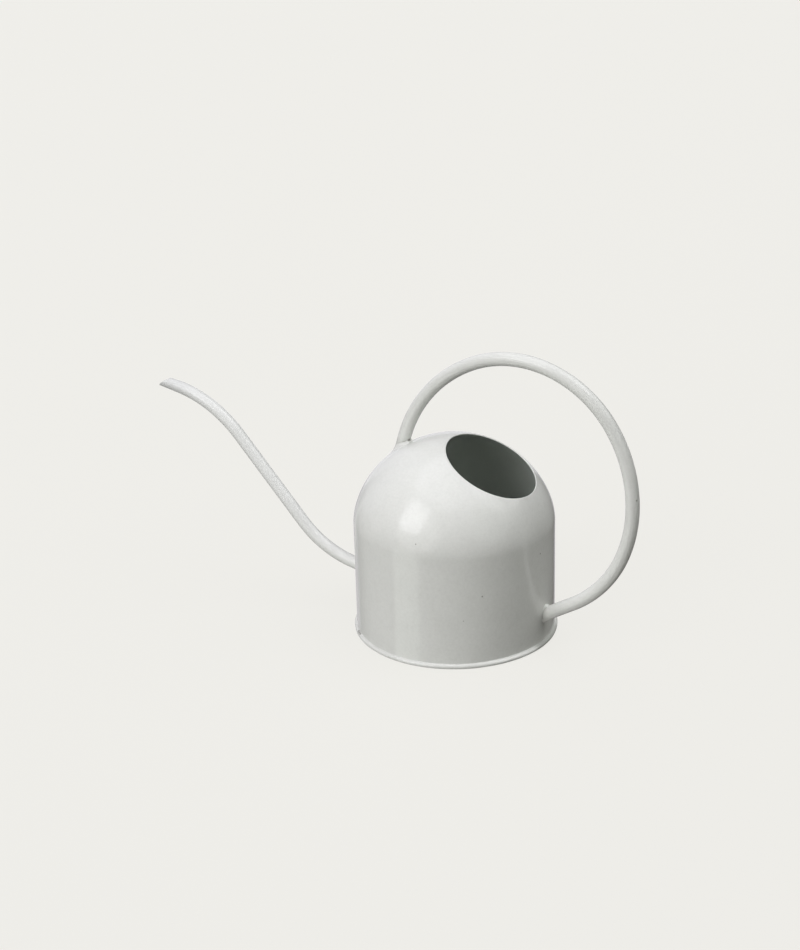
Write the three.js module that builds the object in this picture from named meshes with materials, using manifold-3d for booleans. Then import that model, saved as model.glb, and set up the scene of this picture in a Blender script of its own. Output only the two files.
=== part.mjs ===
// Sheet-metal watering can: a spun, domed shell with a slanting mouth, a capped-on base with a
// hemmed lip, a long curved pouring tube and a looped tube handle, each brazed on with a fillet.
//
// Millimetres, +Z up. The origin is the centre of the base's underside. The spout runs towards -X,
// the handle loop stands over the mouth and comes down on the +X side, and XZ is the mirror plane.

import * as THREE from "three";
import { mergeVertices } from "three/addons/utils/BufferGeometryUtils.js";
import Module from "manifold-3d";

const wasm = await Module();
wasm.setup();

// ---- driving dimensions ------------------------------------------------------------------

const GAP = 0.3; // clearance between neighbouring pieces
const SHEET = 0.8; // body and base sheet thickness

const BODY_R = 70; // outside radius of the straight wall
const WALL_TOP = 80.3; // height where the wall turns into the dome
const DOME_RISE = 60; // height of the dome above the wall, so the shell is 140.3 tall
const DOME_ROUND_R = 1.02; // 1 in both would be a plain ellipse
const DOME_ROUND_Z = 1.138;

const MOUTH_TILT = 27; // degrees the mouth plane leans towards the handle side
const MOUTH_DISTANCE = 124.74; // from the origin to the mouth plane, along its normal

const LIP_R = 71.7; // the base's hemmed lip
const LIP_TOP = 4.1;

const HANDLE_R = 4.65;
const HANDLE_BORE_R = 3.65;
const HANDLE_START = { x: -42.1, z: 121.2, heading: 73.5 };
const HANDLE_BENDS = [
  { straight: 13.2 },
  { radius: 99, turn: -49 },
  { radius: 81, turn: -82.8 },
  { radius: 99.4, turn: -50.5 },
  { radius: 86, turn: -40 },
  { straight: 31 },
];

const SPOUT_R = 4.5;
const SPOUT_BORE_R = 3.7;
const SPOUT_START = { x: -64, z: 25.6, heading: 168.8 };
const SPOUT_BENDS = [
  { straight: 20.5 },
  { radius: 76, turn: -37 },
  { straight: 78.6 },
  { radius: 95, turn: 38 },
  { straight: 24 },
];
const SPOUT_TAPER_LENGTH = 26; // the last stretch is drawn down a little
const SPOUT_TAPER = 0.14;
const LIP_POINT = { x: -248.6, z: 140.6 }; // where the slanting cut meets the tube's underside
const CUT_TOP = { x: -236.6, z: 149.3 };
const CUT_BULGE = 1.3;

const WELD_LEG = { spout: 1.9, upper: 2.1, lower: 2.0 };

const AROUND_BODY = 96;
const AROUND_TUBE = 20;
const AROUND_WELD = 28;

// ---- small helpers -----------------------------------------------------------------------

const rad = THREE.MathUtils.degToRad;

function toManifold(geometry) {
  const bare = geometry.clone();
  bare.deleteAttribute("normal");
  bare.deleteAttribute("uv");
  const merged = mergeVertices(bare, 1e-4);
  const index = merged.index.array;
  const kept = [];
  for (let i = 0; i < index.length; i += 3) {
    const [a, b, c] = [index[i], index[i + 1], index[i + 2]];
    if (a !== b && b !== c && c !== a) {
      kept.push(a, b, c);
    }
  }
  const mesh = new wasm.Mesh({
    numProp: 3,
    vertProperties: new Float32Array(merged.attributes.position.array),
    triVerts: new Uint32Array(kept),
  });
  return new wasm.Manifold(mesh);
}

function toGeometry(manifold) {
  const mesh = manifold.getMesh();
  const geometry = new THREE.BufferGeometry();
  geometry.setAttribute("position", new THREE.BufferAttribute(new Float32Array(mesh.vertProperties), 3));
  geometry.setIndex(new THREE.BufferAttribute(new Uint32Array(mesh.triVerts), 1));
  geometry.computeVertexNormals();
  return geometry;
}

// Turns a closed outline, given as [radius, height] pairs, about the vertical axis.
function revolve(outline, segments = AROUND_BODY) {
  const points = outline.map(([r, z]) => new THREE.Vector2(r, z));
  return new THREE.LatheGeometry(points, segments).rotateX(Math.PI / 2);
}

// A closed ring of cross-sections: sections[i][j] is a point, and both directions wrap round.
function ringOfSections(sections) {
  const count = sections.length;
  const size = sections[0].length;
  const index = [];
  for (let i = 0; i < count; i++) {
    for (let j = 0; j < size; j++) {
      const a = i * size + j;
      const b = i * size + ((j + 1) % size);
      const c = ((i + 1) % count) * size + j;
      const d = ((i + 1) % count) * size + ((j + 1) % size);
      index.push(a, c, b, b, c, d);
    }
  }
  const geometry = new THREE.BufferGeometry();
  const flat = sections.flat().flatMap((p) => [p.x, p.y, p.z]);
  geometry.setAttribute("position", new THREE.Float32BufferAttribute(flat, 3));
  geometry.setIndex(index);
  return geometry;
}

// Stations { x, z, heading } along a tube's centreline, from a start and a list of bends.
function stationsAlong(start, bends, degreesPerStation = 7) {
  const stations = [{ ...start, heading: rad(start.heading) }];
  for (const bend of bends) {
    const from = stations[stations.length - 1];
    if (bend.straight) {
      stations.push({
        x: from.x + bend.straight * Math.cos(from.heading),
        z: from.z + bend.straight * Math.sin(from.heading),
        heading: from.heading,
      });
      continue;
    }
    const side = Math.sign(bend.turn);
    const centreX = from.x - side * bend.radius * Math.sin(from.heading);
    const centreZ = from.z + side * bend.radius * Math.cos(from.heading);
    const steps = Math.ceil(Math.abs(bend.turn) / degreesPerStation);
    for (let i = 1; i <= steps; i++) {
      const heading = from.heading + (rad(bend.turn) * i) / steps;
      stations.push({
        x: centreX + side * bend.radius * Math.sin(heading),
        z: centreZ - side * bend.radius * Math.cos(heading),
        heading,
      });
    }
  }
  return stations;
}

function aroundStation({ x, z, heading }, radius, angle) {
  const inPlane = radius * Math.cos(angle);
  return new THREE.Vector3(
    x - Math.sin(heading) * inPlane,
    radius * Math.sin(angle),
    z + Math.cos(heading) * inPlane,
  );
}

// A hollow tube: each lengthwise strip runs out along the bore and back along the outside.
function tubeAlong(stations, outerR, boreR) {
  const sections = [];
  for (let i = 0; i < AROUND_TUBE; i++) {
    const angle = (2 * Math.PI * i) / AROUND_TUBE;
    const outside = stations.map((s) => aroundStation(s, outerR * (s.scale ?? 1), angle));
    const bore = stations.map((s) => aroundStation(s, boreR * (s.scale ?? 1), angle));
    sections.push([...bore, ...outside.reverse()]);
  }
  return ringOfSections(sections);
}

// ---- the shell's shape -------------------------------------------------------------------

function domePoint(t, grow) {
  return [
    (BODY_R + grow) * Math.cos(t) ** DOME_ROUND_R,
    WALL_TOP + (DOME_RISE + grow) * Math.sin(t) ** DOME_ROUND_Z,
  ];
}

function domeOutline(grow, rows = 14) {
  const outline = [];
  for (let i = 0; i <= rows; i++) {
    outline.push(i === rows ? [0, WALL_TOP + DOME_RISE + grow] : domePoint((Math.PI / 2) * (i / rows), grow));
  }
  return outline;
}

// The whole envelope as one solid, grown by a clearance, for coping tube ends to it.
function envelope(grow) {
  return toManifold(revolve([[0, -5], [BODY_R + grow, -5], ...domeOutline(grow, 40)]));
}

function insideEnvelope(point, grow) {
  const r = Math.hypot(point.x, point.y);
  if (point.z <= WALL_TOP) {
    return r < BODY_R + grow;
  }
  const across = (r / (BODY_R + grow)) ** (2 / DOME_ROUND_R);
  const up = ((point.z - WALL_TOP) / (DOME_RISE + grow)) ** (2 / DOME_ROUND_Z);
  return across + up < 1;
}

function makeBodyShell(spoutStart) {
  const outer = domeOutline(0);
  const inner = domeOutline(-SHEET).reverse();
  const floor = SHEET + GAP;
  const shell = toManifold(
    revolve([[BODY_R, floor], ...outer, ...inner, [BODY_R - SHEET, floor], [BODY_R, floor]]),
  );

  const size = 300;
  const above = new THREE.BoxGeometry(size, size, size)
    .translate(0, 0, size / 2 + MOUTH_DISTANCE)
    .rotateY(rad(MOUTH_TILT));

  const hole = new THREE.CylinderGeometry(SPOUT_BORE_R, SPOUT_BORE_R, 30, AROUND_TUBE)
    .rotateZ(Math.PI / 2)
    .rotateY(Math.PI - rad(SPOUT_START.heading))
    .translate(spoutStart.x, 0, spoutStart.z);

  return toGeometry(shell.subtract(toManifold(above)).subtract(toManifold(hole)));
}

function makeBasePan() {
  const inside = BODY_R + GAP;
  const outline = [
    [0, 0],
    [70.2, 0],
    [71.1, 0.35],
    [LIP_R, 1.3],
    [LIP_R, 2.9],
    [71.35, 3.7],
    [70.85, LIP_TOP],
    [inside, 3.75],
    [inside, SHEET],
    [0, SHEET],
  ];
  return toGeometry(toManifold(revolve(outline)));
}

function makeSeamSolder() {
  const wall = BODY_R - SHEET - GAP;
  const floor = SHEET + GAP;
  const outline = [
    [wall, floor],
    [wall, floor + 2],
    [wall - 0.7, floor + 0.8],
    [wall - 2.1, floor],
    [wall, floor],
  ];
  return toGeometry(toManifold(revolve(outline)));
}

function makeSpout(stations) {
  const tube = toManifold(tubeAlong(stations, SPOUT_R, SPOUT_BORE_R));

  const chord = new THREE.Vector2(CUT_TOP.x - LIP_POINT.x, CUT_TOP.z - LIP_POINT.z);
  const out = new THREE.Vector2(-chord.y, chord.x).normalize();
  const outline = [];
  const steps = 8;
  for (let i = 0; i <= steps; i++) {
    const u = -0.3 + (1.6 * i) / steps;
    const bulge = CUT_BULGE * 4 * u * (1 - u);
    const x = LIP_POINT.x + chord.x * u + out.x * bulge;
    outline.push(new THREE.Vector2(x, LIP_POINT.z + chord.y * u + out.y * bulge));
  }
  outline.push(new THREE.Vector2(CUT_TOP.x, CUT_TOP.z + 30));
  outline.push(new THREE.Vector2(LIP_POINT.x - 30, CUT_TOP.z + 30));
  outline.push(new THREE.Vector2(LIP_POINT.x - 30, LIP_POINT.z - 15));
  const cutter = new THREE.ExtrudeGeometry(new THREE.Shape(outline), { depth: 40, bevelEnabled: false })
    .rotateX(Math.PI / 2)
    .translate(0, 20, 0);

  return toGeometry(tube.subtract(toManifold(cutter)).subtract(envelope(GAP)));
}

function makeHandle(stations) {
  return toGeometry(toManifold(tubeAlong(stations, HANDLE_R, HANDLE_BORE_R)).subtract(envelope(GAP)));
}

// A fillet of braze round a tube's end. For each direction round the tube, its foot follows the
// shell and its top follows the tube, both with the usual clearance.
function makeWeld(end, tubeR, leg) {
  const along = new THREE.Vector3(Math.cos(end.heading), 0, Math.sin(end.heading));
  const centre = new THREE.Vector3(end.x, 0, end.z);
  const near = tubeR + GAP;
  const onShell = (angle, radius) => {
    const offset = aroundStation(end, radius, angle).sub(centre);
    let low = -25;
    let high = 25;
    for (let i = 0; i < 40; i++) {
      const middle = (low + high) / 2;
      const point = centre.clone().addScaledVector(along, middle).add(offset);
      if (insideEnvelope(point, GAP + 0.02)) {
        low = middle;
      } else {
        high = middle;
      }
    }
    return centre.clone().addScaledVector(along, high).add(offset);
  };
  const sections = [];
  for (let i = 0; i < AROUND_WELD; i++) {
    const angle = (2 * Math.PI * i) / AROUND_WELD;
    const corner = onShell(angle, near);
    const toe = onShell(angle, near + leg);
    const middle = onShell(angle, near + leg / 2);
    const top = corner.clone().addScaledVector(along, leg);
    const belly = toe.clone().add(top).multiplyScalar(0.5).lerp(corner, 0.12);
    sections.push([top, belly, toe, middle, corner]);
  }
  return ringOfSections(sections);
}

// ---- assembly ----------------------------------------------------------------------------

const enamel = { color: 0xd9dad8, roughness: 0.28, metalness: 0 };
const solder = { color: 0x8f918e, roughness: 0.45, metalness: 0.9 };

const can = new THREE.Group();
can.name = "watering_can";

function addPiece(name, geometry, look) {
  const mesh = new THREE.Mesh(geometry, new THREE.MeshStandardMaterial(look));
  mesh.name = name;
  can.add(mesh);
}

function outwards(geometry) {
  return toGeometry(toManifold(geometry));
}

const handleStations = stationsAlong(HANDLE_START, HANDLE_BENDS);
const handleUpper = handleStations[0];
const last = handleStations[handleStations.length - 1];
const handleLower = { ...last, heading: last.heading + Math.PI };

const spoutStations = stationsAlong(SPOUT_START, SPOUT_BENDS, 5);
const spoutEnd = spoutStations[spoutStations.length - 1];
for (const station of spoutStations) {
  const toEnd = Math.hypot(station.x - spoutEnd.x, station.z - spoutEnd.z);
  station.scale = 1 - SPOUT_TAPER * Math.max(0, 1 - toEnd / SPOUT_TAPER_LENGTH);
}

addPiece("body_shell", makeBodyShell(spoutStations[0]), enamel);
addPiece("base_pan", makeBasePan(), enamel);
addPiece("base_seam_solder", makeSeamSolder(), solder);
addPiece("spout_tube", makeSpout(spoutStations), enamel);
addPiece("spout_weld", outwards(makeWeld(spoutStations[0], SPOUT_R, WELD_LEG.spout)), enamel);
addPiece("handle_tube", makeHandle(handleStations), enamel);
addPiece("handle_upper_weld", outwards(makeWeld(handleUpper, HANDLE_R, WELD_LEG.upper)), enamel);
addPiece("handle_lower_weld", outwards(makeWeld(handleLower, HANDLE_R, WELD_LEG.lower)), enamel);

export default can;
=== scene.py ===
"""A white enamelled watering can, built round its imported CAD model.

Every CAD solid is stood in for by a finer mesh of nearly its size: the spun shell with a rounded
sheet edge at the mouth, the hemmed base with its ring of solder inside, the two bent tubes and
the brazed fillets that hold them. Metres, +Z up, the origin under the base's centre, the spout
towards -X.
"""

import math

import bpy
import numpy as np
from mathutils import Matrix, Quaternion, Vector, noise


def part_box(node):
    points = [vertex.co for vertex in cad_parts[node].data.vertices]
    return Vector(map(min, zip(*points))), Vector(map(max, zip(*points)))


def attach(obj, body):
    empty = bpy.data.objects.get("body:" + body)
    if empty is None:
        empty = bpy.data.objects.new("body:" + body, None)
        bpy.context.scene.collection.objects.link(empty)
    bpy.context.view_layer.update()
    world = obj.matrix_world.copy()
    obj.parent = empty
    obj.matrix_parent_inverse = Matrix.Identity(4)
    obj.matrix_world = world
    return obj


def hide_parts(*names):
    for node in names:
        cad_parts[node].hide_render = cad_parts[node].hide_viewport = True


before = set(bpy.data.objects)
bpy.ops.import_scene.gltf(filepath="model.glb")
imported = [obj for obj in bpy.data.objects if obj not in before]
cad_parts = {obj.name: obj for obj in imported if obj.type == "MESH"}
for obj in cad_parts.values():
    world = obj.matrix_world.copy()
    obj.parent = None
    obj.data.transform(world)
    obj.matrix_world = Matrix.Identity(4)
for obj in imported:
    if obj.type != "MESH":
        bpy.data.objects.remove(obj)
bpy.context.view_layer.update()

MM = 0.001
TURN = 2 * math.pi

# ---- driving dimensions ------------------------------------------------------------------
# They are the CAD's, apart from small changes to the mouth, the lip, the spout's tip and the
# handle's lower end.

BODY_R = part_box("body_shell")[1].y
FOOT_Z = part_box("body_shell")[0].z
SHEET = 0.8 * MM
WALL_TOP = 80.3 * MM
DOME_RISE = 60 * MM
DOME_ROUND_R = 1.02  # the dome's curve is a superellipse: 1 would be a true ellipse
DOME_ROUND_Z = 1.138

MOUTH_TILT = math.radians(27)
MOUTH_SWING = math.radians(1.1)  # the cut is turned a little to the back
MOUTH_DISTANCE = 124.45 * MM  # from the origin to the cut's plane, square to it
MOUTH_UPHILL = 21 * MM  # and from there up the plane, to a point well inside the mouth

LIP_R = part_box("base_pan")[1].x
LIP_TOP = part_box("base_pan")[1].z - 0.7 * MM  # the bead is rolled a little lower than its envelope
LIP_BULGE = 0.9 * MM  # how far the bead is sprung out, under the handle
LIP_BULGE_AT = math.radians(-5)

HANDLE_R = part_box("handle_tube")[1].y
HANDLE_BORE_R = HANDLE_R - 1 * MM
HANDLE_START = (-42.1 * MM, 121.2 * MM, 73.5)  # x, z and heading in degrees
HANDLE_BENDS = [("straight", 13.2), ("bend", 99, -49), ("bend", 81, -82.8), ("bend", 99.4, -50.5),
                ("bend", 86, -40), ("straight", 31)]
HANDLE_LOW_GAP = 0.7 * MM  # the lower end stands off the wall a little, where the braze misses it

SPOUT_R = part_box("spout_tube")[1].y
SPOUT_BORE_R = SPOUT_R - SHEET
SPOUT_START = (-64 * MM, 25.6 * MM, 168.8)
SPOUT_BENDS = [("straight", 20.5), ("bend", 76, -37), ("straight", 78.6), ("bend", 95, 38),
               ("straight", 24)]
SPOUT_TAPER_LENGTH = 26 * MM
SPOUT_TAPER = 0.2  # how much thinner the tube is at its very tip
SPOUT_TIP_DROOP = 0.45 * MM
SPOUT_LIP = np.array([-248.1, 140.6]) * MM  # x and z of the lowest point of the tip's slanting cut
SPOUT_CUT_TOP = np.array([-233, 148.7]) * MM  # and of its highest
SPOUT_CUT_BULGE = 1.7 * MM

# ---- how fine the meshes are ---------------------------------------------------------------

COLUMNS = 288  # round the body
DOME_ROWS = 64
WALL_ROWS = 54
HOLE_REACH = 4  # the spout's hole takes this many of the wall's cells each way
AROUND_TUBE = 48
AROUND_FILLET = 144
HANDLE_STEP = 2.2 * MM  # between a tube's rings
SPOUT_STEP = 2 * MM
TUBE_CLEARANCE = 1.2 * MM  # between a tube's last whole ring and the shell

# ---- how far the marks in the metal are drawn out -------------------------------------------

SPUN_STRETCH = 20  # round the body
DRAWN_STRETCH = 25  # along a tube
DOME_BEND_R = 65 * MM  # turns an angle up the dome into a length


# ---- mesh helpers ------------------------------------------------------------------------

def new_object(name, points, faces, materials, slots=None, grain=None):
    """A smooth-shaded mesh object from points and faces.

    slots gives each face's material index. grain gives each point's place in the stretched space
    that the drawing and spinning marks are laid out in; without it they follow the points.
    """
    mesh = bpy.data.meshes.new(name)
    mesh.from_pydata([tuple(p) for p in points], [], [tuple(f) for f in faces])
    marks = mesh.attributes.new("grain", "FLOAT_VECTOR", "POINT")
    marks.data.foreach_set("vector", np.ravel(points if grain is None else grain))
    for material in materials:
        mesh.materials.append(material)
    if slots is not None:
        mesh.polygons.foreach_set("material_index", slots)
    mesh.polygons.foreach_set("use_smooth", [True] * len(mesh.polygons))
    mesh.update()
    mesh.validate()
    obj = bpy.data.objects.new(name, mesh)
    bpy.context.scene.collection.objects.link(obj)
    return obj


def wrapped_faces(rows, columns, close_rows=True):
    """Quads of a grid whose columns wrap round, and whose rows do too if close_rows is true."""
    faces = []
    for i in range(rows if close_rows else rows - 1):
        below = ((i + 1) % rows) * columns
        for j in range(columns):
            k = (j + 1) % columns
            faces.append((i * columns + j, i * columns + k, below + k, below + j))
    return faces


def wavy(points, size, amount, seed):
    """A smooth random number for each point, between about -amount and amount."""
    shift = Vector((seed * 7.1, seed * 3.7, seed * 1.3))
    return np.array([noise.noise(Vector(p) / size + shift) for p in points]) * amount * 2


def settled(points):
    """Points of the body moved in a little: spinning leaves the wall slightly uneven."""
    radial = points * np.array([1, 1, 0])
    radial /= np.maximum(np.linalg.norm(radial, axis=1), 1e-9)[:, None]
    return points - radial * np.abs(wavy(points, 45 * MM, 0.09 * MM, 3))[:, None]


def last_inside(low, high, is_inside):
    """Halves each range from low to high, down to the place where is_inside stops being true."""
    for _ in range(50):
        middle = (low + high) / 2
        inside = is_inside(middle)
        low = np.where(inside, middle, low)
        high = np.where(inside, high, middle)
    return low, high


def stand_in(obj, node):
    """Puts a mesh in a CAD solid's place."""
    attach(obj, "root")
    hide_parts(node)


# ---- the shell's surface -----------------------------------------------------------------

def dome_reach(directions, grow):
    """How far along each direction, from the dome's centre, the dome's surface is."""
    across = np.hypot(directions[:, 0], directions[:, 1]) / (BODY_R + grow)
    up = np.maximum(directions[:, 2], 0) / (DOME_RISE + grow)

    def is_inside(far):
        return (across * far) ** (2 / DOME_ROUND_R) + (up * far) ** (2 / DOME_ROUND_Z) <= 1

    none = np.zeros(len(directions))
    return last_inside(none, none + 4 * BODY_R, is_inside)[1]


def inside_envelope(points, grow):
    """True where a point is under the shell's outer surface, moved out by grow."""
    r = np.hypot(points[:, 0], points[:, 1]) / (BODY_R + grow)
    up = np.maximum(points[:, 2] - WALL_TOP, 0) / (DOME_RISE + grow)
    return r ** (2 / DOME_ROUND_R) + up ** (2 / DOME_ROUND_Z) < 1


def reach_surface(points, direction):
    """Moves each point along direction to where it leaves the shell's outer surface."""
    reach = np.full(len(points), 30 * MM)

    def is_inside(far):
        return inside_envelope(points + far[:, None] * direction, 0)

    return points + last_inside(-reach, reach, is_inside)[1][:, None] * direction


DOWNHILL_WAY = np.array([math.cos(MOUTH_SWING), math.sin(MOUTH_SWING), 0])
MOUTH_NORMAL = DOWNHILL_WAY * math.sin(MOUTH_TILT) + np.array([0, 0, math.cos(MOUTH_TILT)])
MOUTH_DOWNHILL = DOWNHILL_WAY * math.cos(MOUTH_TILT) - np.array([0, 0, math.sin(MOUTH_TILT)])
MOUTH_ACROSS = np.cross(MOUTH_NORMAL, MOUTH_DOWNHILL)


def mouth_edge(angles):
    """The points where the mouth's plane meets the dome, seen from a point inside the mouth."""
    middle = MOUTH_NORMAL * MOUTH_DISTANCE - MOUTH_DOWNHILL * MOUTH_UPHILL
    rays = np.cos(angles)[:, None] * MOUTH_DOWNHILL + np.sin(angles)[:, None] * MOUTH_ACROSS

    def is_inside(far):
        return inside_envelope(middle + far[:, None] * rays, 0)

    none = np.zeros(len(angles))
    return middle + last_inside(none, none + 2 * BODY_R, is_inside)[1][:, None] * rays


def surface_normals(points):
    """Outward normals of the shell's outer surface."""
    r = np.hypot(points[:, 0], points[:, 1])
    up = np.maximum(points[:, 2] - WALL_TOP, 1e-9)
    out = (r / BODY_R) ** (2 / DOME_ROUND_R - 1) / BODY_R / DOME_ROUND_R
    rise = (up / DOME_RISE) ** (2 / DOME_ROUND_Z - 1) / DOME_RISE / DOME_ROUND_Z
    normals = np.stack([points[:, 0] / r * out, points[:, 1] / r * out, rise], axis=1)
    return normals / np.linalg.norm(normals, axis=1)[:, None]


def shell_rows(grow, edge, angles, wall_heights):
    """Rows of points from the mouth's edge down to the foot, on the surface moved out by grow."""
    centre = np.array([0, 0, WALL_TOP])
    edge = edge - centre
    edge /= np.linalg.norm(edge, axis=1)[:, None]
    level = np.stack([np.cos(angles), np.sin(angles), np.zeros(len(angles))], axis=1)
    spread = np.arccos(np.clip((edge * level).sum(axis=1), -1, 1))[:, None]
    rows = []
    for i in range(DOME_ROWS + 1):
        part = i / DOME_ROWS
        ray = (np.sin((1 - part) * spread) * edge + np.sin(part * spread) * level) / np.sin(spread)
        rows.append(centre + ray * dome_reach(ray, grow)[:, None])
    for z in wall_heights:
        rows.append(level * (BODY_R + grow) + np.array([0, 0, z]))
    return rows


def mouth_rim(outer_edge, inner_edge, normals):
    """Rows over the sheet's cut edge, which is square to it and rounded over by the enamel."""
    along = np.roll(outer_edge, -1, axis=0) - np.roll(outer_edge, 1, axis=0)
    inwards = np.cross(normals, along)
    inwards /= np.linalg.norm(inwards, axis=1)[:, None]
    inwards *= np.sign((inwards * (outer_edge.mean(axis=0) - outer_edge)).sum(axis=1))[:, None]
    rim = []
    for step in range(1, 8):
        turn = math.pi * step / 8
        blend = (1 - math.cos(turn)) / 2
        swell = inwards * 0.22 * MM * math.sin(turn)
        rim.append(outer_edge * (1 - blend) + inner_edge * blend + swell)
    return rim


def block_outline(row, column):
    """The points round the block of the body's grid that the spout's hole takes."""
    reach = HOLE_REACH
    border = [(row - reach, column + k) for k in range(-reach, reach)]
    border += [(row + k, column + reach) for k in range(-reach, reach)]
    border += [(row + reach, column - k) for k in range(-reach, reach)]
    border += [(row - k, column - reach) for k in range(-reach, reach)]
    return [i * COLUMNS + j for i, j in border]


def open_spout_hole(points, faces, outer_row, hole_z):
    """Opens the spout's hole: a block of cells gives way to a ring of points, on both skins.

    faces are the whole grid of the body's rows. outer_row is the row at the hole's middle on the
    outside; the inside has its rows in the opposite order.
    """
    count = len(points) // COLUMNS
    skins = ((outer_row, BODY_R), (count - 1 - outer_row, BODY_R - SHEET))
    spout_column = COLUMNS // 2
    kept = []
    for f, face in enumerate(faces):
        i, j = divmod(f, COLUMNS)
        in_columns = spout_column - HOLE_REACH <= j < spout_column + HOLE_REACH
        in_rows = any(row - HOLE_REACH <= i < row + HOLE_REACH for row, _ in skins)
        if not (in_columns and in_rows):
            kept.append(face)

    rings = []
    for row, skin_r in skins:
        outline = block_outline(row, spout_column)
        ring = []
        for vertex in outline:
            y, z = points[vertex][1], points[vertex][2] - hole_z
            size = SPOUT_BORE_R / math.hypot(y, z)
            y, z = y * size, z * size
            ring.append((-math.sqrt(skin_r ** 2 - y ** 2), y, hole_z + z))
        first = len(points)
        points = np.concatenate([points, ring])
        rings.append(first)
        for k, vertex in enumerate(outline):
            n = (k + 1) % len(outline)
            kept.append((vertex, outline[n], first + n, first + k))

    # A strip through the sheet joins the two rings. The inner one runs the other way round.
    outside, inside = rings
    around = len(points) - inside
    for k in range(around):
        n = (k + 1) % around
        facing = (around // 4 * 3 - k) % around
        facing_next = (around // 4 * 3 - k - 1) % around
        kept.append((outside + k, outside + n, inside + facing_next, inside + facing))
    return points, kept


def spinning_grain(points):
    """The shell's grain, for marks that run round the axis, from the foot up to the mouth."""
    r = np.hypot(points[:, 0], points[:, 1])
    up = points[:, 2] - WALL_TOP
    along = np.where(up > 0, DOME_BEND_R * np.arctan2(up, r), up)
    return np.stack([points[:, 0] / SPUN_STRETCH, points[:, 1] / SPUN_STRETCH, along], axis=1)


def make_shell(enamel, lining):
    """The dome and wall in one, with the mouth's rounded edge and the spout's hole."""
    angles = TURN * np.arange(COLUMNS) / COLUMNS
    wall = np.linspace(WALL_TOP, FOOT_Z, WALL_ROWS + 1)[1:]
    edge = mouth_edge(angles)
    normals = surface_normals(edge)
    outer = shell_rows(0, edge, angles, wall)
    inner = shell_rows(-SHEET, edge - normals * SHEET, angles, wall)
    rim = mouth_rim(outer[0], inner[0], normals)
    loop = outer[::-1] + rim + inner

    hole_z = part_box("spout_weld")[0].z / 2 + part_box("spout_weld")[1].z / 2
    outer_row = int(np.argmin([abs(row[0, 2] - hole_z) for row in loop[:len(wall)]]))
    faces = wrapped_faces(len(loop), COLUMNS)
    points, faces = open_spout_hole(np.concatenate(loop), faces, outer_row, hole_z)

    lined = range((len(outer) + len(rim) // 2) * COLUMNS, len(loop) * COLUMNS)
    slots = [1 if min(face) in lined and max(face) in lined else 0 for face in faces]
    grain = spinning_grain(points)
    return new_object("shell", settled(points), faces, [enamel, lining], slots, grain)


# ---- turned pieces -----------------------------------------------------------------------

def arc(centre, radius, start, end, steps):
    """Points [r, z] on an arc, from one angle to another in degrees."""
    angles = np.radians(np.linspace(start, end, steps + 1))
    return [(centre[0] + radius * math.cos(a), centre[1] + radius * math.sin(a)) for a in angles]


def turned(outline):
    """Points and faces of an outline turned about the axis; it starts and ends on the axis."""
    columns = COLUMNS
    angles = TURN * np.arange(columns) / columns
    points = [(0, 0, outline[0][1])]
    for r, z in outline[1:-1]:
        points += [(r * math.cos(a), r * math.sin(a), z) for a in angles]
    points.append((0, 0, outline[-1][1]))
    faces = []
    rows = len(outline) - 2
    for j in range(columns):
        k = (j + 1) % columns
        faces.append((0, 1 + k, 1 + j))
        faces.append((len(points) - 1, 1 + (rows - 1) * columns + j, 1 + (rows - 1) * columns + k))
        for i in range(rows - 1):
            a, b = 1 + i * columns, 1 + (i + 1) * columns
            faces.append((a + j, a + k, b + k, b + j))
    return np.array(points), faces


def make_base(enamel):
    """A flat disc with its edge turned up outside the wall and hemmed: the foot's raised ring."""
    inside = BODY_R + 0.05 * MM
    bead = LIP_TOP / 2
    middle = LIP_R - bead
    top = math.degrees(math.acos((inside - middle) / bead))
    outline = [(r * MM, 0) for r in (0, 20, 45, 62, 67)]
    outline += arc((middle, bead), bead, -90, top - 9, 18)
    # The enamel runs a little way up the wall from the bead.
    outline += [(inside + 0.22 * MM, LIP_TOP - 0.02 * MM),
                (inside + 0.08 * MM, LIP_TOP + 0.12 * MM),
                (inside, LIP_TOP + 0.4 * MM), (inside - 0.12 * MM, LIP_TOP + 0.3 * MM),
                (inside - 0.1 * MM, 1.6 * MM), (inside - 0.1 * MM, SHEET)]
    outline += [(r * MM, SHEET) for r in (66, 45, 20, 0)]
    points, faces = turned(outline)

    # The lip is slightly uneven, and below the handle it is sprung out a little.
    fade = 1.2 * MM
    radial = np.hypot(points[:, 0], points[:, 1])
    on_lip = np.clip((radial - 69.5 * MM) / fade, 0, 1)
    on_bulge = np.clip((radial - 70.3 * MM) / fade, 0, 1)
    uneven = np.abs(wavy(points, 14 * MM, 0.1 * MM, 5)) * on_lip
    facing = points[:, 0] * math.cos(LIP_BULGE_AT) + points[:, 1] * math.sin(LIP_BULGE_AT)
    facing = np.clip(facing / np.maximum(radial, 1e-6), 0, 1)
    uneven -= LIP_BULGE * facing ** 6 * on_bulge
    points[:, :2] *= (1 - uneven / np.maximum(radial, 1e-6))[:, None]
    points[:, 2] += wavy(points, 19 * MM, 0.08 * MM, 6) * on_lip * (points[:, 2] > 2 * MM)
    return new_object("base", points, faces, [enamel])


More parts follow.
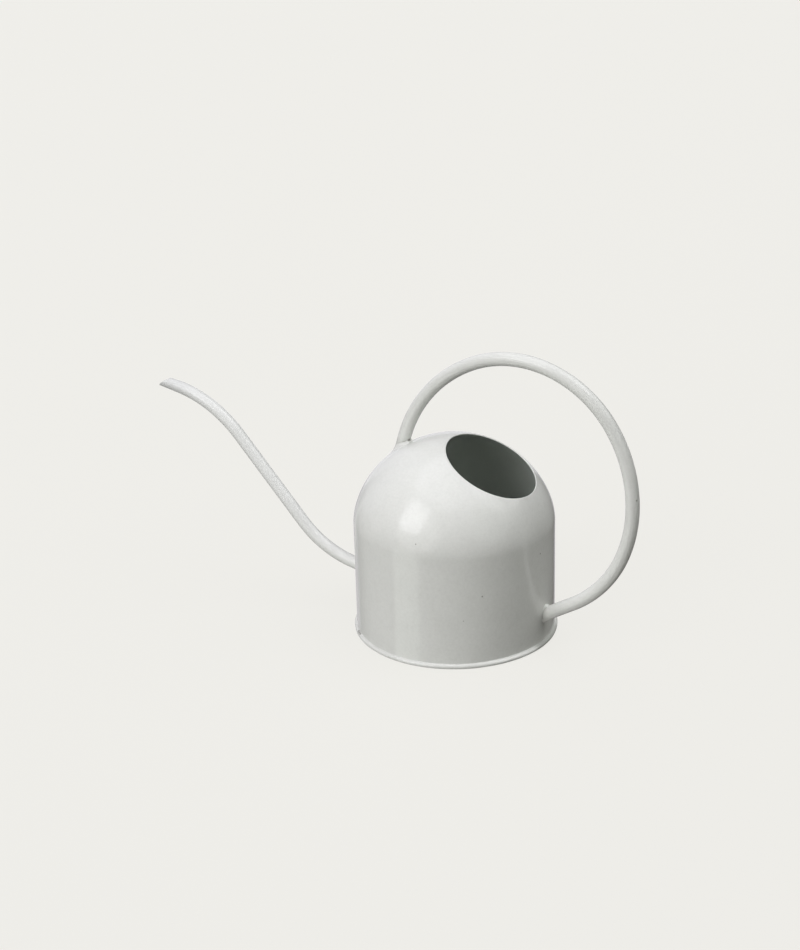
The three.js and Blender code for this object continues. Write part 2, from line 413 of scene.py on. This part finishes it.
def make_seam_solder(solder):
    """The ring of soft solder in the inside corner, thicker in places."""
    wall, floor = BODY_R - SHEET, SHEET
    profile = [(wall, floor + 2.2 * MM), (wall - 0.35 * MM, floor + 1.5 * MM),
               (wall - 0.8 * MM, floor + 0.85 * MM), (wall - 1.5 * MM, floor + 0.35 * MM),
               (wall - 2.3 * MM, floor + 0.02 * MM), (wall - 1.1 * MM, floor - 0.1 * MM),
               (wall + 0.1 * MM, floor - 0.1 * MM), (wall + 0.1 * MM, floor + 1 * MM)]
    angles = TURN * np.arange(COLUMNS) / COLUMNS
    points = np.array([(r * math.cos(a), r * math.sin(a), z) for r, z in profile for a in angles])
    flow = 1 + wavy(points * np.array([1, 1, 0]), 9 * MM, 0.22, 8)
    radial = np.hypot(points[:, 0], points[:, 1])
    points[:, :2] *= ((wall + (radial - wall) * flow) / radial)[:, None]
    points[:, 2] = floor + (points[:, 2] - floor) * flow
    return new_object("seam_solder", points, wrapped_faces(len(profile), COLUMNS), [solder])


# ---- tubes -------------------------------------------------------------------------------

def stations_along(start, bends, step):
    """(x, z, heading) along a tube's centreline, from a start and a list of straights and bends.

    A straight has its length and a bend its radius, in millimetres; a bend also has its sweep, in
    degrees.
    """
    x, z, heading = start[0], start[1], math.radians(start[2])
    stations = [(x, z, heading)]
    for bend in bends:
        if bend[0] == "straight":
            steps = math.ceil(bend[1] * MM / step)
            for i in range(1, steps + 1):
                far = bend[1] * MM * i / steps
                sx, sz = x + far * math.cos(heading), z + far * math.sin(heading)
                stations.append((sx, sz, heading))
        else:
            radius, sweep = bend[1] * MM, math.radians(bend[2])
            side = math.copysign(1, sweep)
            cx = x - side * radius * math.sin(heading)
            cz = z + side * radius * math.cos(heading)
            steps = math.ceil(radius * abs(sweep) / step)
            for i in range(1, steps + 1):
                h = heading + sweep * i / steps
                sx, sz = cx + side * radius * math.sin(h), cz - side * radius * math.cos(h)
                stations.append((sx, sz, h))
        x, z, heading = stations[-1]
    return stations


def ring_at(station, radius, angles):
    """A ring of points square to the tube at a station; an angle of 90 degrees is towards +Y."""
    x, z, heading = station
    in_plane, across = radius * np.cos(angles), radius * np.sin(angles)
    ring_x, ring_z = x - math.sin(heading) * in_plane, z + math.cos(heading) * in_plane
    return np.stack([ring_x, across, ring_z], axis=1)


def heading_vector(station):
    return np.array([math.cos(station[2]), 0, math.sin(station[2])])


TUBE_ANGLES = TURN * np.arange(AROUND_TUBE) / AROUND_TUBE


def drawing_grain(rows, radius):
    """A tube's grain, for marks that run along it: its rings laid out straight and squeezed."""
    middles = np.array([row.mean(axis=0) for row in rows])
    steps = np.linalg.norm(np.diff(middles, axis=0), axis=1)
    run = np.concatenate([[0], np.cumsum(steps)]) / DRAWN_STRETCH
    spokes = radius * np.stack([np.cos(TUBE_ANGLES), np.sin(TUBE_ANGLES)], axis=1)
    return np.concatenate([np.column_stack([spokes, np.full(AROUND_TUBE, far)]) for far in run])


def clear_of_shell(stations, radius):
    """The stations whose whole ring stands well clear of the shell."""
    rings = [ring_at(station, radius, TUBE_ANGLES) for station in stations]
    return [station for station, ring in zip(stations, rings)
            if not inside_envelope(ring, TUBE_CLEARANCE).any()]


def make_handle(stations, enamel):
    """A bent tube, open at both ends, each cut to follow the shell."""
    free = clear_of_shell(stations, HANDLE_R)
    away, back = heading_vector(stations[0]), -heading_vector(stations[-1])
    skins = []
    for radius in (HANDLE_R, HANDLE_BORE_R):
        first = reach_surface(ring_at(stations[0], radius, TUBE_ANGLES), away)
        last = reach_surface(ring_at(stations[-1], radius, TUBE_ANGLES), back)
        last += back * HANDLE_LOW_GAP
        skins.append([first] + [ring_at(s, radius, TUBE_ANGLES) for s in free] + [last])
    rows = skins[0] + skins[1][::-1]
    faces = wrapped_faces(len(rows), AROUND_TUBE)
    grain = drawing_grain(rows, HANDLE_R)
    return new_object("handle", np.concatenate(rows), faces, [enamel], grain=grain)


def tip_ring(station, radius, end):
    """A ring of the spout. Near the tip the tube is drawn thinner, mostly from above."""
    drawn = max(0, 1 - math.hypot(station[0] - end[0], station[1] - end[1]) / SPOUT_TAPER_LENGTH)
    ring = ring_at(station, radius * (1 - SPOUT_TAPER * drawn), TUBE_ANGLES)
    up = np.array([math.sin(station[2]), 0, -math.cos(station[2])])
    return ring - up * SPOUT_TIP_DROOP * drawn


def cut_height(x):
    """The height of the tip's slanting, slightly rounded cut above each x."""
    chord = SPOUT_CUT_TOP - SPOUT_LIP
    out = np.array([-chord[1], chord[0]]) / np.linalg.norm(chord)
    u = np.linspace(-0.4, 1.4, 181)[:, None]
    curve = SPOUT_LIP + chord * u + out * SPOUT_CUT_BULGE * 4 * u * (1 - u)
    return np.interp(x, curve[:, 0], curve[:, 1])


def cut_ring(base, final):
    """Where the tube's sides, from one ring to another, meet the tip's cut."""
    def is_kept(part):
        at = base + part[:, None] * (final - base)
        return at[:, 2] < cut_height(at[:, 0])

    part = last_inside(np.zeros(AROUND_TUBE), np.ones(AROUND_TUBE), is_kept)[0]
    return base + part[:, None] * (final - base)


def make_spout(stations, enamel, lining):
    """A bent tube, open from the body to its slanting tip; its lining is the bore."""
    end = stations[-1]
    away = heading_vector(stations[0])
    free = clear_of_shell(stations, SPOUT_R)
    whole = [station for station in free if station[0] > SPOUT_CUT_TOP[0] + 4 * MM]
    skins = []
    for radius in (SPOUT_R, SPOUT_BORE_R):
        rings = [reach_surface(ring_at(stations[0], radius, TUBE_ANGLES), away)]
        rings += [tip_ring(station, radius, end) for station in whole]
        base = rings[-1]
        cut = cut_ring(base, tip_ring(end, radius, end))
        rings += [base + (cut - base) * part for part in (0.25, 0.5, 0.75, 0.95)]
        skins.append((rings, cut))
    (outer, outer_cut), (inner, inner_cut) = skins
    wall = outer_cut - inner_cut
    along = heading_vector(end) * 0.12 * MM
    rim = [outer_cut - along, outer_cut - wall * 0.15 - along * 0.3, outer_cut - wall * 0.5,
           inner_cut + wall * 0.15 - along * 0.3, inner_cut - along]
    rows = outer + rim + inner[::-1]
    faces = wrapped_faces(len(rows), AROUND_TUBE)
    bore_from = (len(outer) + len(rim) - 1) * AROUND_TUBE
    slots = [1 if min(face) >= bore_from else 0 for face in faces]
    grain = drawing_grain(rows, SPOUT_R)
    return new_object("spout", np.concatenate(rows), faces, [enamel, lining], slots, grain)


# ---- brazed fillets ----------------------------------------------------------------------

# How the braze lies round each tube's end; make_fillet says what the numbers are. At 0 degrees is
# the front of the handle's upper end, the top of its lower end and the underside of the spout, and
# 90 is towards +Y.
HANDLE_UPPER_BRAZE = [
    (0, 2.8, 6.5, 0), (60, 2.6, 4.5, 0), (120, 2.2, 3, 0.1), (180, 1.6, 2, 0.5),
    (225, 2, 2.4, 0.5), (255, 2.8, 3, 0.3), (285, 3, 4.5, 0.1), (325, 2.8, 6.5, 0)]
HANDLE_LOWER_BRAZE = [
    (0, 1.4, 2.6, 0.6), (30, 1.7, 3.2, 0.6), (70, 1, 2.4, 0.5), (110, 0.6, 3, 0.5),
    (150, 0.6, 6, 0.5), (180, 0.8, 8, 0.5), (210, 0.6, 6, 0.5), (232, 0.3, 3, 0.5),
    (250, 0.15, 0.25, 0.5), (336, 0.15, 0.25, 0.5), (352, 1.2, 2, 0.6)]
SPOUT_BRAZE = [(0, 1.6, 1.8, 0.1), (90, 1.5, 1.6, 0.2), (180, 2.6, 3.2, 0.1), (270, 1.5, 1.6, 0.2)]


def make_fillet(name, end, tube_r, shape, enamel, seed):
    """Braze round a tube's end, feathered into the shell and the tube.

    shape gives, for angles round the tube in degrees: how far the braze spreads over the shell and
    how far it climbs the tube, in millimetres, and its section, from 0 for hollow through 0.5 for
    straight to 1 for full.
    """
    angles = TURN * np.arange(AROUND_FILLET) / AROUND_FILLET
    degrees = np.degrees(angles)
    keys = np.array(shape)
    soften = np.array([1, 3, 5, 6, 5, 3, 1]) / 24
    columns = []
    for column in keys.T[1:]:
        between = np.interp(degrees, keys[:, 0], column, period=360)
        columns.append(sum(np.roll(between, k - 3) * soften[k] for k in range(7)))
    spread, climb, fullness = columns

    def lumps(fineness, shift):
        places = [(fineness * math.cos(a), fineness * math.sin(a), shift) for a in angles]
        return np.array([noise.noise(Vector(place)) for place in places])

    uneven = MM * (1 + 0.2 * lumps(2.2, seed) + 0.12 * lumps(7, seed + 9))
    spread, climb = spread * uneven, climb * uneven

    bite, feather = 0.12 * MM, 0.025 * MM
    away = heading_vector(end)
    base = np.array([end[0], 0, end[1]])
    spokes = ring_at(end, 1.0, angles) - base

    def row(out, up):
        """Points out from the tube's surface and up from the shell's."""
        on_shell = reach_surface(base + spokes * (tube_r + out)[:, None], away)
        return settled(on_shell) + away * np.broadcast_to(up, len(angles))[:, None]

    level = np.zeros(len(angles))
    rows = [row(level - bite, -bite), row(spread * 1.4, -bite), row(spread * 1.15, -feather)]
    for step in np.linspace(0, math.pi / 2, 11):
        hollow = (1 - math.sin(step), 1 - math.cos(step))
        full = (math.cos(step), math.sin(step))
        out = spread * (hollow[0] * (1 - fullness) + full[0] * fullness)
        up = climb * (hollow[1] * (1 - fullness) + full[1] * fullness)
        rows.append(row(out, up))
    rows.append(row(level - feather, climb * 1.15))
    rows.append(row(level - bite, climb * 1.3))
    faces = wrapped_faces(len(rows), len(angles))
    return new_object(name, np.concatenate(rows), faces, [enamel])


# ---- materials ---------------------------------------------------------------------------

class Nodes:
    """A material's node tree, with short calls for the nodes used here."""

    def __init__(self, name):
        self.material = bpy.data.materials.new(name)
        self.material.use_nodes = True
        self.tree = self.material.node_tree
        self.tree.nodes.clear()
        self.place = self.node("ShaderNodeTexCoord").outputs["Object"]
        self.shader = self.node("ShaderNodeBsdfPrincipled")
        output = self.node("ShaderNodeOutputMaterial")
        self.link(self.shader.outputs[0], output.inputs[0])

    def node(self, kind, **values):
        node = self.tree.nodes.new(kind)
        for key, value in values.items():
            setattr(node, key, value)
        return node

    def link(self, source, target):
        self.tree.links.new(source, target)

    def fill(self, socket, value):
        if isinstance(value, bpy.types.NodeSocket):
            self.link(value, socket)
        else:
            socket.default_value = value

    def noise(self, size, detail=3.0, rough=0.5, place=None):
        """Noise whose features are about size metres across."""
        node = self.node("ShaderNodeTexNoise")
        self.link(place or self.place, node.inputs["Vector"])
        node.inputs["Scale"].default_value = 1 / size
        node.inputs["Detail"].default_value = detail
        node.inputs["Roughness"].default_value = rough
        return node.outputs[0]

    def remap(self, value, low, high, to_low, to_high, smooth=False):
        kind = "SMOOTHSTEP" if smooth else "LINEAR"
        node = self.node("ShaderNodeMapRange", interpolation_type=kind)
        self.link(value, node.inputs[0])
        for socket, number in zip(node.inputs[1:5], (low, high, to_low, to_high)):
            socket.default_value = number
        return node.outputs[0]

    def math(self, operation, a, b=0.0):
        node = self.node("ShaderNodeMath", operation=operation)
        self.fill(node.inputs[0], a)
        self.fill(node.inputs[1], b)
        return node.outputs[0]

    def mix(self, factor, a, b):
        node = self.node("ShaderNodeMix", data_type="RGBA")
        self.fill(node.inputs[0], factor)
        self.fill(node.inputs[6], (*a, 1) if isinstance(a, tuple) else a)
        self.fill(node.inputs[7], (*b, 1) if isinstance(b, tuple) else b)
        return node.outputs[2]

    def near(self, centre, radius, soft=0.5):
        """1 within radius of a point, falling to 0 just outside; its edge is a little ragged."""
        node = self.node("ShaderNodeVectorMath", operation="DISTANCE")
        self.link(self.place, node.inputs[0])
        node.inputs[1].default_value = centre
        ragged = self.math("SUBTRACT", self.noise(radius * 1.5), 0.5)
        away = self.math("ADD", node.outputs["Value"], self.math("MULTIPLY", ragged, radius * 0.9))
        return self.remap(away, radius * (1 - soft), radius * (1 + soft), 1, 0, smooth=True)

    def bump(self, height, distance, strength=1.0, below=None):
        node = self.node("ShaderNodeBump")
        node.inputs["Strength"].default_value = strength
        node.inputs["Distance"].default_value = distance
        self.link(height, node.inputs["Height"])
        if below is not None:
            self.link(below, node.inputs["Normal"])
        return node.outputs[0]


def on_wall(azimuth, height, r=BODY_R):
    """A point on the wall: degrees from +X towards +Y, and millimetres above the floor."""
    a = math.radians(azimuth)
    return (r * math.cos(a), r * math.sin(a), height * MM)


# Small bare spots in the enamel of the wall, the bead and the handle: centre and radius.
PINHOLES = [
    (on_wall(-83.3, 89.9, 68.6 * MM), 0.42 * MM),
    (on_wall(-5.7, 70.6), 0.55 * MM),
    (on_wall(-46.5, 52.9), 0.5 * MM),
    (on_wall(-57.1, 35.9), 0.32 * MM),
]
SEAM_CHIPS = [(on_wall(a, 3.1, 70.6 * MM), 1.05 * MM) for a in (223.8, 225.6, 227.4)]
TUBE_SPECKS = [
    ((136.5 * MM, -2.4 * MM, 120.5 * MM), 0.6 * MM),
    ((-33.8 * MM, -1.2 * MM, 133.3 * MM), 1.25 * MM),
]


def enamel_material(name, bare_spots, painted_light_spots, gloss, marks):
    """Cool white stoved enamel: a soft gloss with a fine ripple, faint mottling and bare specks.

    The patches listed after bare_spots are painted light and painted shade, each made lighter or
    darker than the enamel: (centre, radius, softness, colour, amount). marks is the height of the
    spinning or drawing marks that show through it.
    """
    n = Nodes(name)
    mottled = n.remap(n.noise(26 * MM, 4, 0.6), 0.3, 0.7, 0, 1)
    colour = n.mix(mottled, (0.706, 0.714, 0.687), (0.736, 0.742, 0.715))
    dusty = n.remap(n.noise(4.5 * MM, 5, 0.65), 0.48, 0.75, 0, 0.5, smooth=True)
    colour = n.mix(dusty, colour, (0.66, 0.665, 0.635))
    grainy = n.remap(n.noise(1.9 * MM, 4, 0.7), 0.4, 0.72, 0, 0.45)
    colour = n.mix(grainy, colour, (0.64, 0.645, 0.62))
    # Patches of painted light and painted shade: the colour is made lighter or darker where the
    # lamps light the can too little or too much.
    for centre, radius, softness, painted_spot_colour, amount in painted_light_spots:
        colour = n.mix(n.math("MULTIPLY", n.near(centre, radius, softness), amount), colour, painted_spot_colour)

    bare = None
    for centre, radius in bare_spots:
        spot = n.near(centre, radius)
        bare = spot if bare is None else n.math("MAXIMUM", bare, spot)
    colour = n.mix(n.math("MULTIPLY", bare, 0.72), colour, (0.16, 0.15, 0.13))
    n.link(colour, n.shader.inputs["Base Color"])
    n.shader.inputs["Specular IOR Level"].default_value = 0.36

    grain = n.node("ShaderNodeAttribute", attribute_name="grain").outputs["Vector"]
    streaks = n.noise(1.3 * MM, 3, 0.55, grain)
    smears = n.remap(n.noise(18 * MM, 5, 0.62), 0.3, 0.75, gloss - 0.03, gloss + 0.05)
    smears = n.math("ADD", smears, n.remap(streaks, 0.3, 0.7, -0.02, 0.03))
    n.link(n.math("ADD", smears, n.math("MULTIPLY", bare, 0.35)), n.shader.inputs["Roughness"])

    ripple = n.bump(n.noise(1.4 * MM, 2, 0.5), 0.02 * MM, 0.5)
    drawn = n.bump(streaks, marks, 1.0, ripple)
    swell = n.bump(n.noise(11 * MM, 2, 0.4), 0.12 * MM, 0.35, drawn)
    n.link(n.bump(n.math("SUBTRACT", 1.0, bare), 0.09 * MM, 0.8, swell), n.shader.inputs["Normal"])
    return n.material


def lining_material():
    """The inside: thin grey-green ground coat, dull, with runs and faint rust near the seam."""
    n = Nodes("ground_coat")
    cloudy = n.remap(n.noise(21 * MM, 5, 0.6), 0.3, 0.72, 0, 1)
    colour = n.mix(cloudy, (0.62, 0.655, 0.615), (0.665, 0.70, 0.66))
    height = n.node("ShaderNodeSeparateXYZ")
    n.link(n.place, height.inputs[0])
    wander = n.math("MULTIPLY", n.noise(13 * MM, 4), 9 * MM)
    low = n.remap(n.math("ADD", height.outputs[2], wander), 5 * MM, 12 * MM, 0.55, 0, smooth=True)
    colour = n.mix(n.math("MULTIPLY", low, n.noise(4 * MM, 4, 0.7)), colour, (0.17, 0.085, 0.035))
    n.link(colour, n.shader.inputs["Base Color"])
    n.link(n.remap(n.noise(7 * MM, 4, 0.6), 0.3, 0.7, 0.38, 0.58), n.shader.inputs["Roughness"])
    n.link(n.bump(n.noise(1.8 * MM, 4, 0.6), 0.04 * MM, 0.5), n.shader.inputs["Normal"])
    return n.material


def solder_material():
    n = Nodes("soft_solder")
    dull = n.remap(n.noise(5 * MM, 5, 0.65), 0.3, 0.7, 0, 1)
    n.link(n.mix(dull, (0.31, 0.31, 0.30), (0.46, 0.465, 0.455)), n.shader.inputs["Base Color"])
    n.shader.inputs["Metallic"].default_value = 0.85
    n.link(n.remap(n.noise(2.4 * MM, 4), 0.3, 0.7, 0.34, 0.58), n.shader.inputs["Roughness"])
    n.link(n.bump(n.noise(1.6 * MM, 3), 0.08 * MM, 0.6), n.shader.inputs["Normal"])
    return n.material


def floor_material():
    n = Nodes("pale_floor")
    tone = n.remap(n.noise(0.4, 3, 0.5), 0.3, 0.7, 0, 1)
    colour = n.mix(tone, (0.039, 0.0385, 0.037), (0.041, 0.0405, 0.039))
    n.link(colour, n.shader.inputs["Base Color"])
    n.shader.inputs["Roughness"].default_value = 0.9
    n.shader.inputs["Emission Color"].default_value = (0.863, 0.854, 0.814, 1)
    n.shader.inputs["Emission Strength"].default_value = 0.908
    return n.material


# ---- stage, lights and camera ------------------------------------------------------------

# The camera was fitted to the view in a separate program: degrees, metres and a lens in mm.
CAMERA_AZIMUTH = 30.56
CAMERA_ELEVATION = 22.25
CAMERA_ROLL = -1.62
CAMERA_DISTANCE = 1.2383
CAMERA_AIM = Vector((-36.2, -10.9, 110.3)) * MM
CAMERA_LENS = 67.74

SWEEP_R = 2.0  # the floor runs level to three times this, and then curves up
FLOOR_COLUMNS = 96
CAN_MIDDLE = Vector((0, 0, 0.1))


def make_floor():
    """A round pale floor that sweeps up far off into a pale wall, as a studio backdrop does.

    Only the camera sees it. The lights below the horizon stand for what the enamel gets from it.
    """
    sweep = arc((3 * SWEEP_R, SWEEP_R), SWEEP_R, 0, -90, 12)
    profile = [(4 * SWEEP_R, 3.5 * SWEEP_R)] + sweep + [(SWEEP_R / 2, 0)]
    angles = TURN * np.arange(FLOOR_COLUMNS) / FLOOR_COLUMNS
    points = [(r * math.cos(a), r * math.sin(a), z) for r, z in profile for a in angles]
    faces = wrapped_faces(len(profile), FLOOR_COLUMNS, close_rows=False)
    middle, inner = len(points), len(points) - FLOOR_COLUMNS
    faces += [(middle, inner + k, inner + (k + 1) % FLOOR_COLUMNS) for k in range(FLOOR_COLUMNS)]
    points.append((0, 0, 0))
    floor = new_object("floor", points, faces, [floor_material()])
    floor.visible_diffuse = floor.visible_glossy = floor.visible_shadow = False


def towards(left, up):
    """The direction, seen from the can, so many degrees left of the camera and up from level."""
    turn, rise = math.radians(CAMERA_AZIMUTH - left), math.radians(up)
    level = math.cos(rise)
    return Vector((math.sin(turn) * level, -math.cos(turn) * level, math.sin(rise)))


def add_light(light, direction, place, colour):
    light.color = [channel / max(colour) for channel in colour]
    obj = bpy.data.objects.new(light.name, light)
    obj.location = place
    obj.rotation_mode = "QUATERNION"
    obj.rotation_quaternion = direction.to_track_quat("Z", "Y")
    bpy.context.scene.collection.objects.link(obj)


def far_light(name, left, up, spread, colour):
    """Even light from far away; a white surface square to it looks as bright as colour."""
    light = bpy.data.lights.new(name, "SUN")
    light.angle = math.radians(spread)
    light.energy = math.pi * max(colour)
    add_light(light, towards(left, up), towards(left, up) * 3, colour)


def softbox(name, left, up, distance, width, height, colour):
    """A rectangular softbox facing the can; colour is about as in far_light."""
    light = bpy.data.lights.new(name, "AREA")
    light.shape = "RECTANGLE"
    light.size, light.size_y = width, height
    light.energy = math.pi * max(colour) * math.pi * distance ** 2
    add_light(light, towards(left, up), CAN_MIDDLE + towards(left, up) * distance, colour)


def make_world(colour):
    world = bpy.data.worlds.new("studio")
    world.use_nodes = True
    world.node_tree.nodes["Background"].inputs[0].default_value = (*colour, 1)
    bpy.context.scene.world = world


def make_camera():
    back = towards(0, CAMERA_ELEVATION)
    data = bpy.data.cameras.new("camera")
    data.lens = CAMERA_LENS
    data.sensor_width = 36
    data.clip_start, data.clip_end = 0.05, 50
    camera = bpy.data.objects.new("camera", data)
    camera.location = CAMERA_AIM + back * CAMERA_DISTANCE
    camera.rotation_mode = "QUATERNION"
    roll = Quaternion(Vector((0, 0, 1)), math.radians(CAMERA_ROLL))
    camera.rotation_quaternion = back.to_track_quat("Z", "Y") @ roll
    bpy.context.scene.collection.objects.link(camera)
    bpy.context.scene.camera = camera


# ---- assembly ----------------------------------------------------------------------------

handle_stations = stations_along(HANDLE_START, HANDLE_BENDS, HANDLE_STEP)
spout_stations = stations_along(SPOUT_START, SPOUT_BENDS, SPOUT_STEP)
high_end = handle_stations[0]
low_x, low_z, low_heading = handle_stations[-1]
low_end = (low_x, low_z, low_heading + math.pi)  # the handle's lower end, away from the body

# Painted shade: the spout's tip made darker, to tone down the light the lamps put on it.
painted_tip_shade = ((SPOUT_LIP[0], 0, SPOUT_LIP[1]), 30 * MM, 0.8, (0.60, 0.605, 0.60), 0.8)
# Painted light: the spout made a little lighter and cooler, standing for the light from the left.
painted_cool_light = ((-190 * MM, 0, 105 * MM), 85 * MM, 0.5, (0.75, 0.755, 0.742), 0.8)
# Painted light: the handle made lighter round its lower end, standing for light bounced onto it from
# the wall.
painted_joint_light = ((low_x, 0, low_z), 15 * MM, 0.6, (0.86, 0.868, 0.83), 0.9)
# Painted shadow: the bead made darker under the handle, standing for the handle's shadow on it.
painted_handle_shadow = (on_wall(4, 2, 70.8 * MM), 19 * MM, 0.3, (0.45, 0.455, 0.43), 0.85)
# The tubes' patches of painted light and painted shade.
tube_painted_light = [painted_cool_light, painted_tip_shade, painted_joint_light]
body_enamel = enamel_material("enamel_body", PINHOLES, [], 0.115, 0.06 * MM)
base_enamel = enamel_material("enamel_base", SEAM_CHIPS, [painted_handle_shadow], 0.13, 0.06 * MM)
tube_enamel = enamel_material("enamel_tubes", TUBE_SPECKS, tube_painted_light, 0.14, 0.26 * MM)
lining = lining_material()
solder = solder_material()

stand_in(make_shell(body_enamel, lining), "body_shell")
stand_in(make_base(base_enamel), "base_pan")
stand_in(make_seam_solder(solder), "base_seam_solder")
stand_in(make_spout(spout_stations, tube_enamel, lining), "spout_tube")
stand_in(make_handle(handle_stations, tube_enamel), "handle_tube")
for name, node, end, radius, shape, seed in (
    ("handle_upper_fillet", "handle_upper_weld", high_end, HANDLE_R, HANDLE_UPPER_BRAZE, 1),
    ("handle_lower_fillet", "handle_lower_weld", low_end, HANDLE_R, HANDLE_LOWER_BRAZE, 2),
    ("spout_fillet", "spout_weld", spout_stations[0], SPOUT_R, SPOUT_BRAZE, 3),
):
    fillet = make_fillet(name, end, radius, shape, tube_enamel, seed)
    stand_in(fillet, node)

# Each light's colour is also its strength. They were fitted from test renders in a separate
# program, rounded to three places, and some were then changed by hand.
make_floor()
make_world((0.045, 0.038, 0.034))
softbox("key_softbox", 57, 33, 3.0, 1.45, 1.75, (0.347, 0.345, 0.356))
far_light("key_glow", 57, 33, 60, (0.051, 0.050, 0.052))
softbox("key_in_table_top", 59, -28, 3.0, 1.5, 1.9, (0.141, 0.152, 0.139))
far_light("front_left_wall", 45, 15, 50, (0.279, 0.276, 0.269))
far_light("ceiling", 0, 88, 70, (0.468, 0.466, 0.493))
far_light("right_fill", -90, 50, 50, (0.338, 0.339, 0.334))
far_light("front_fill", -45, 30, 50, (0.097, 0.107, 0.096))
far_light("back_wall", 180, 12, 60, (0.088, 0.089, 0.090))
far_light("back_left", 140, 25, 60, (0.090, 0.091, 0.099))
far_light("table_top_behind_left", 150, -20, 60, (0.010, 0.012, 0.010))
far_light("table_top_behind", 175, -20, 50, (0.070, 0.069, 0.076))
far_light("table_top_far_side", 178, -45, 50, (0.018, 0.014, 0.016))
far_light("table_top_below", 0, -88, 60, (0.165, 0.163, 0.162))
make_camera()
bpy.context.scene.view_settings.view_transform = "Standard"
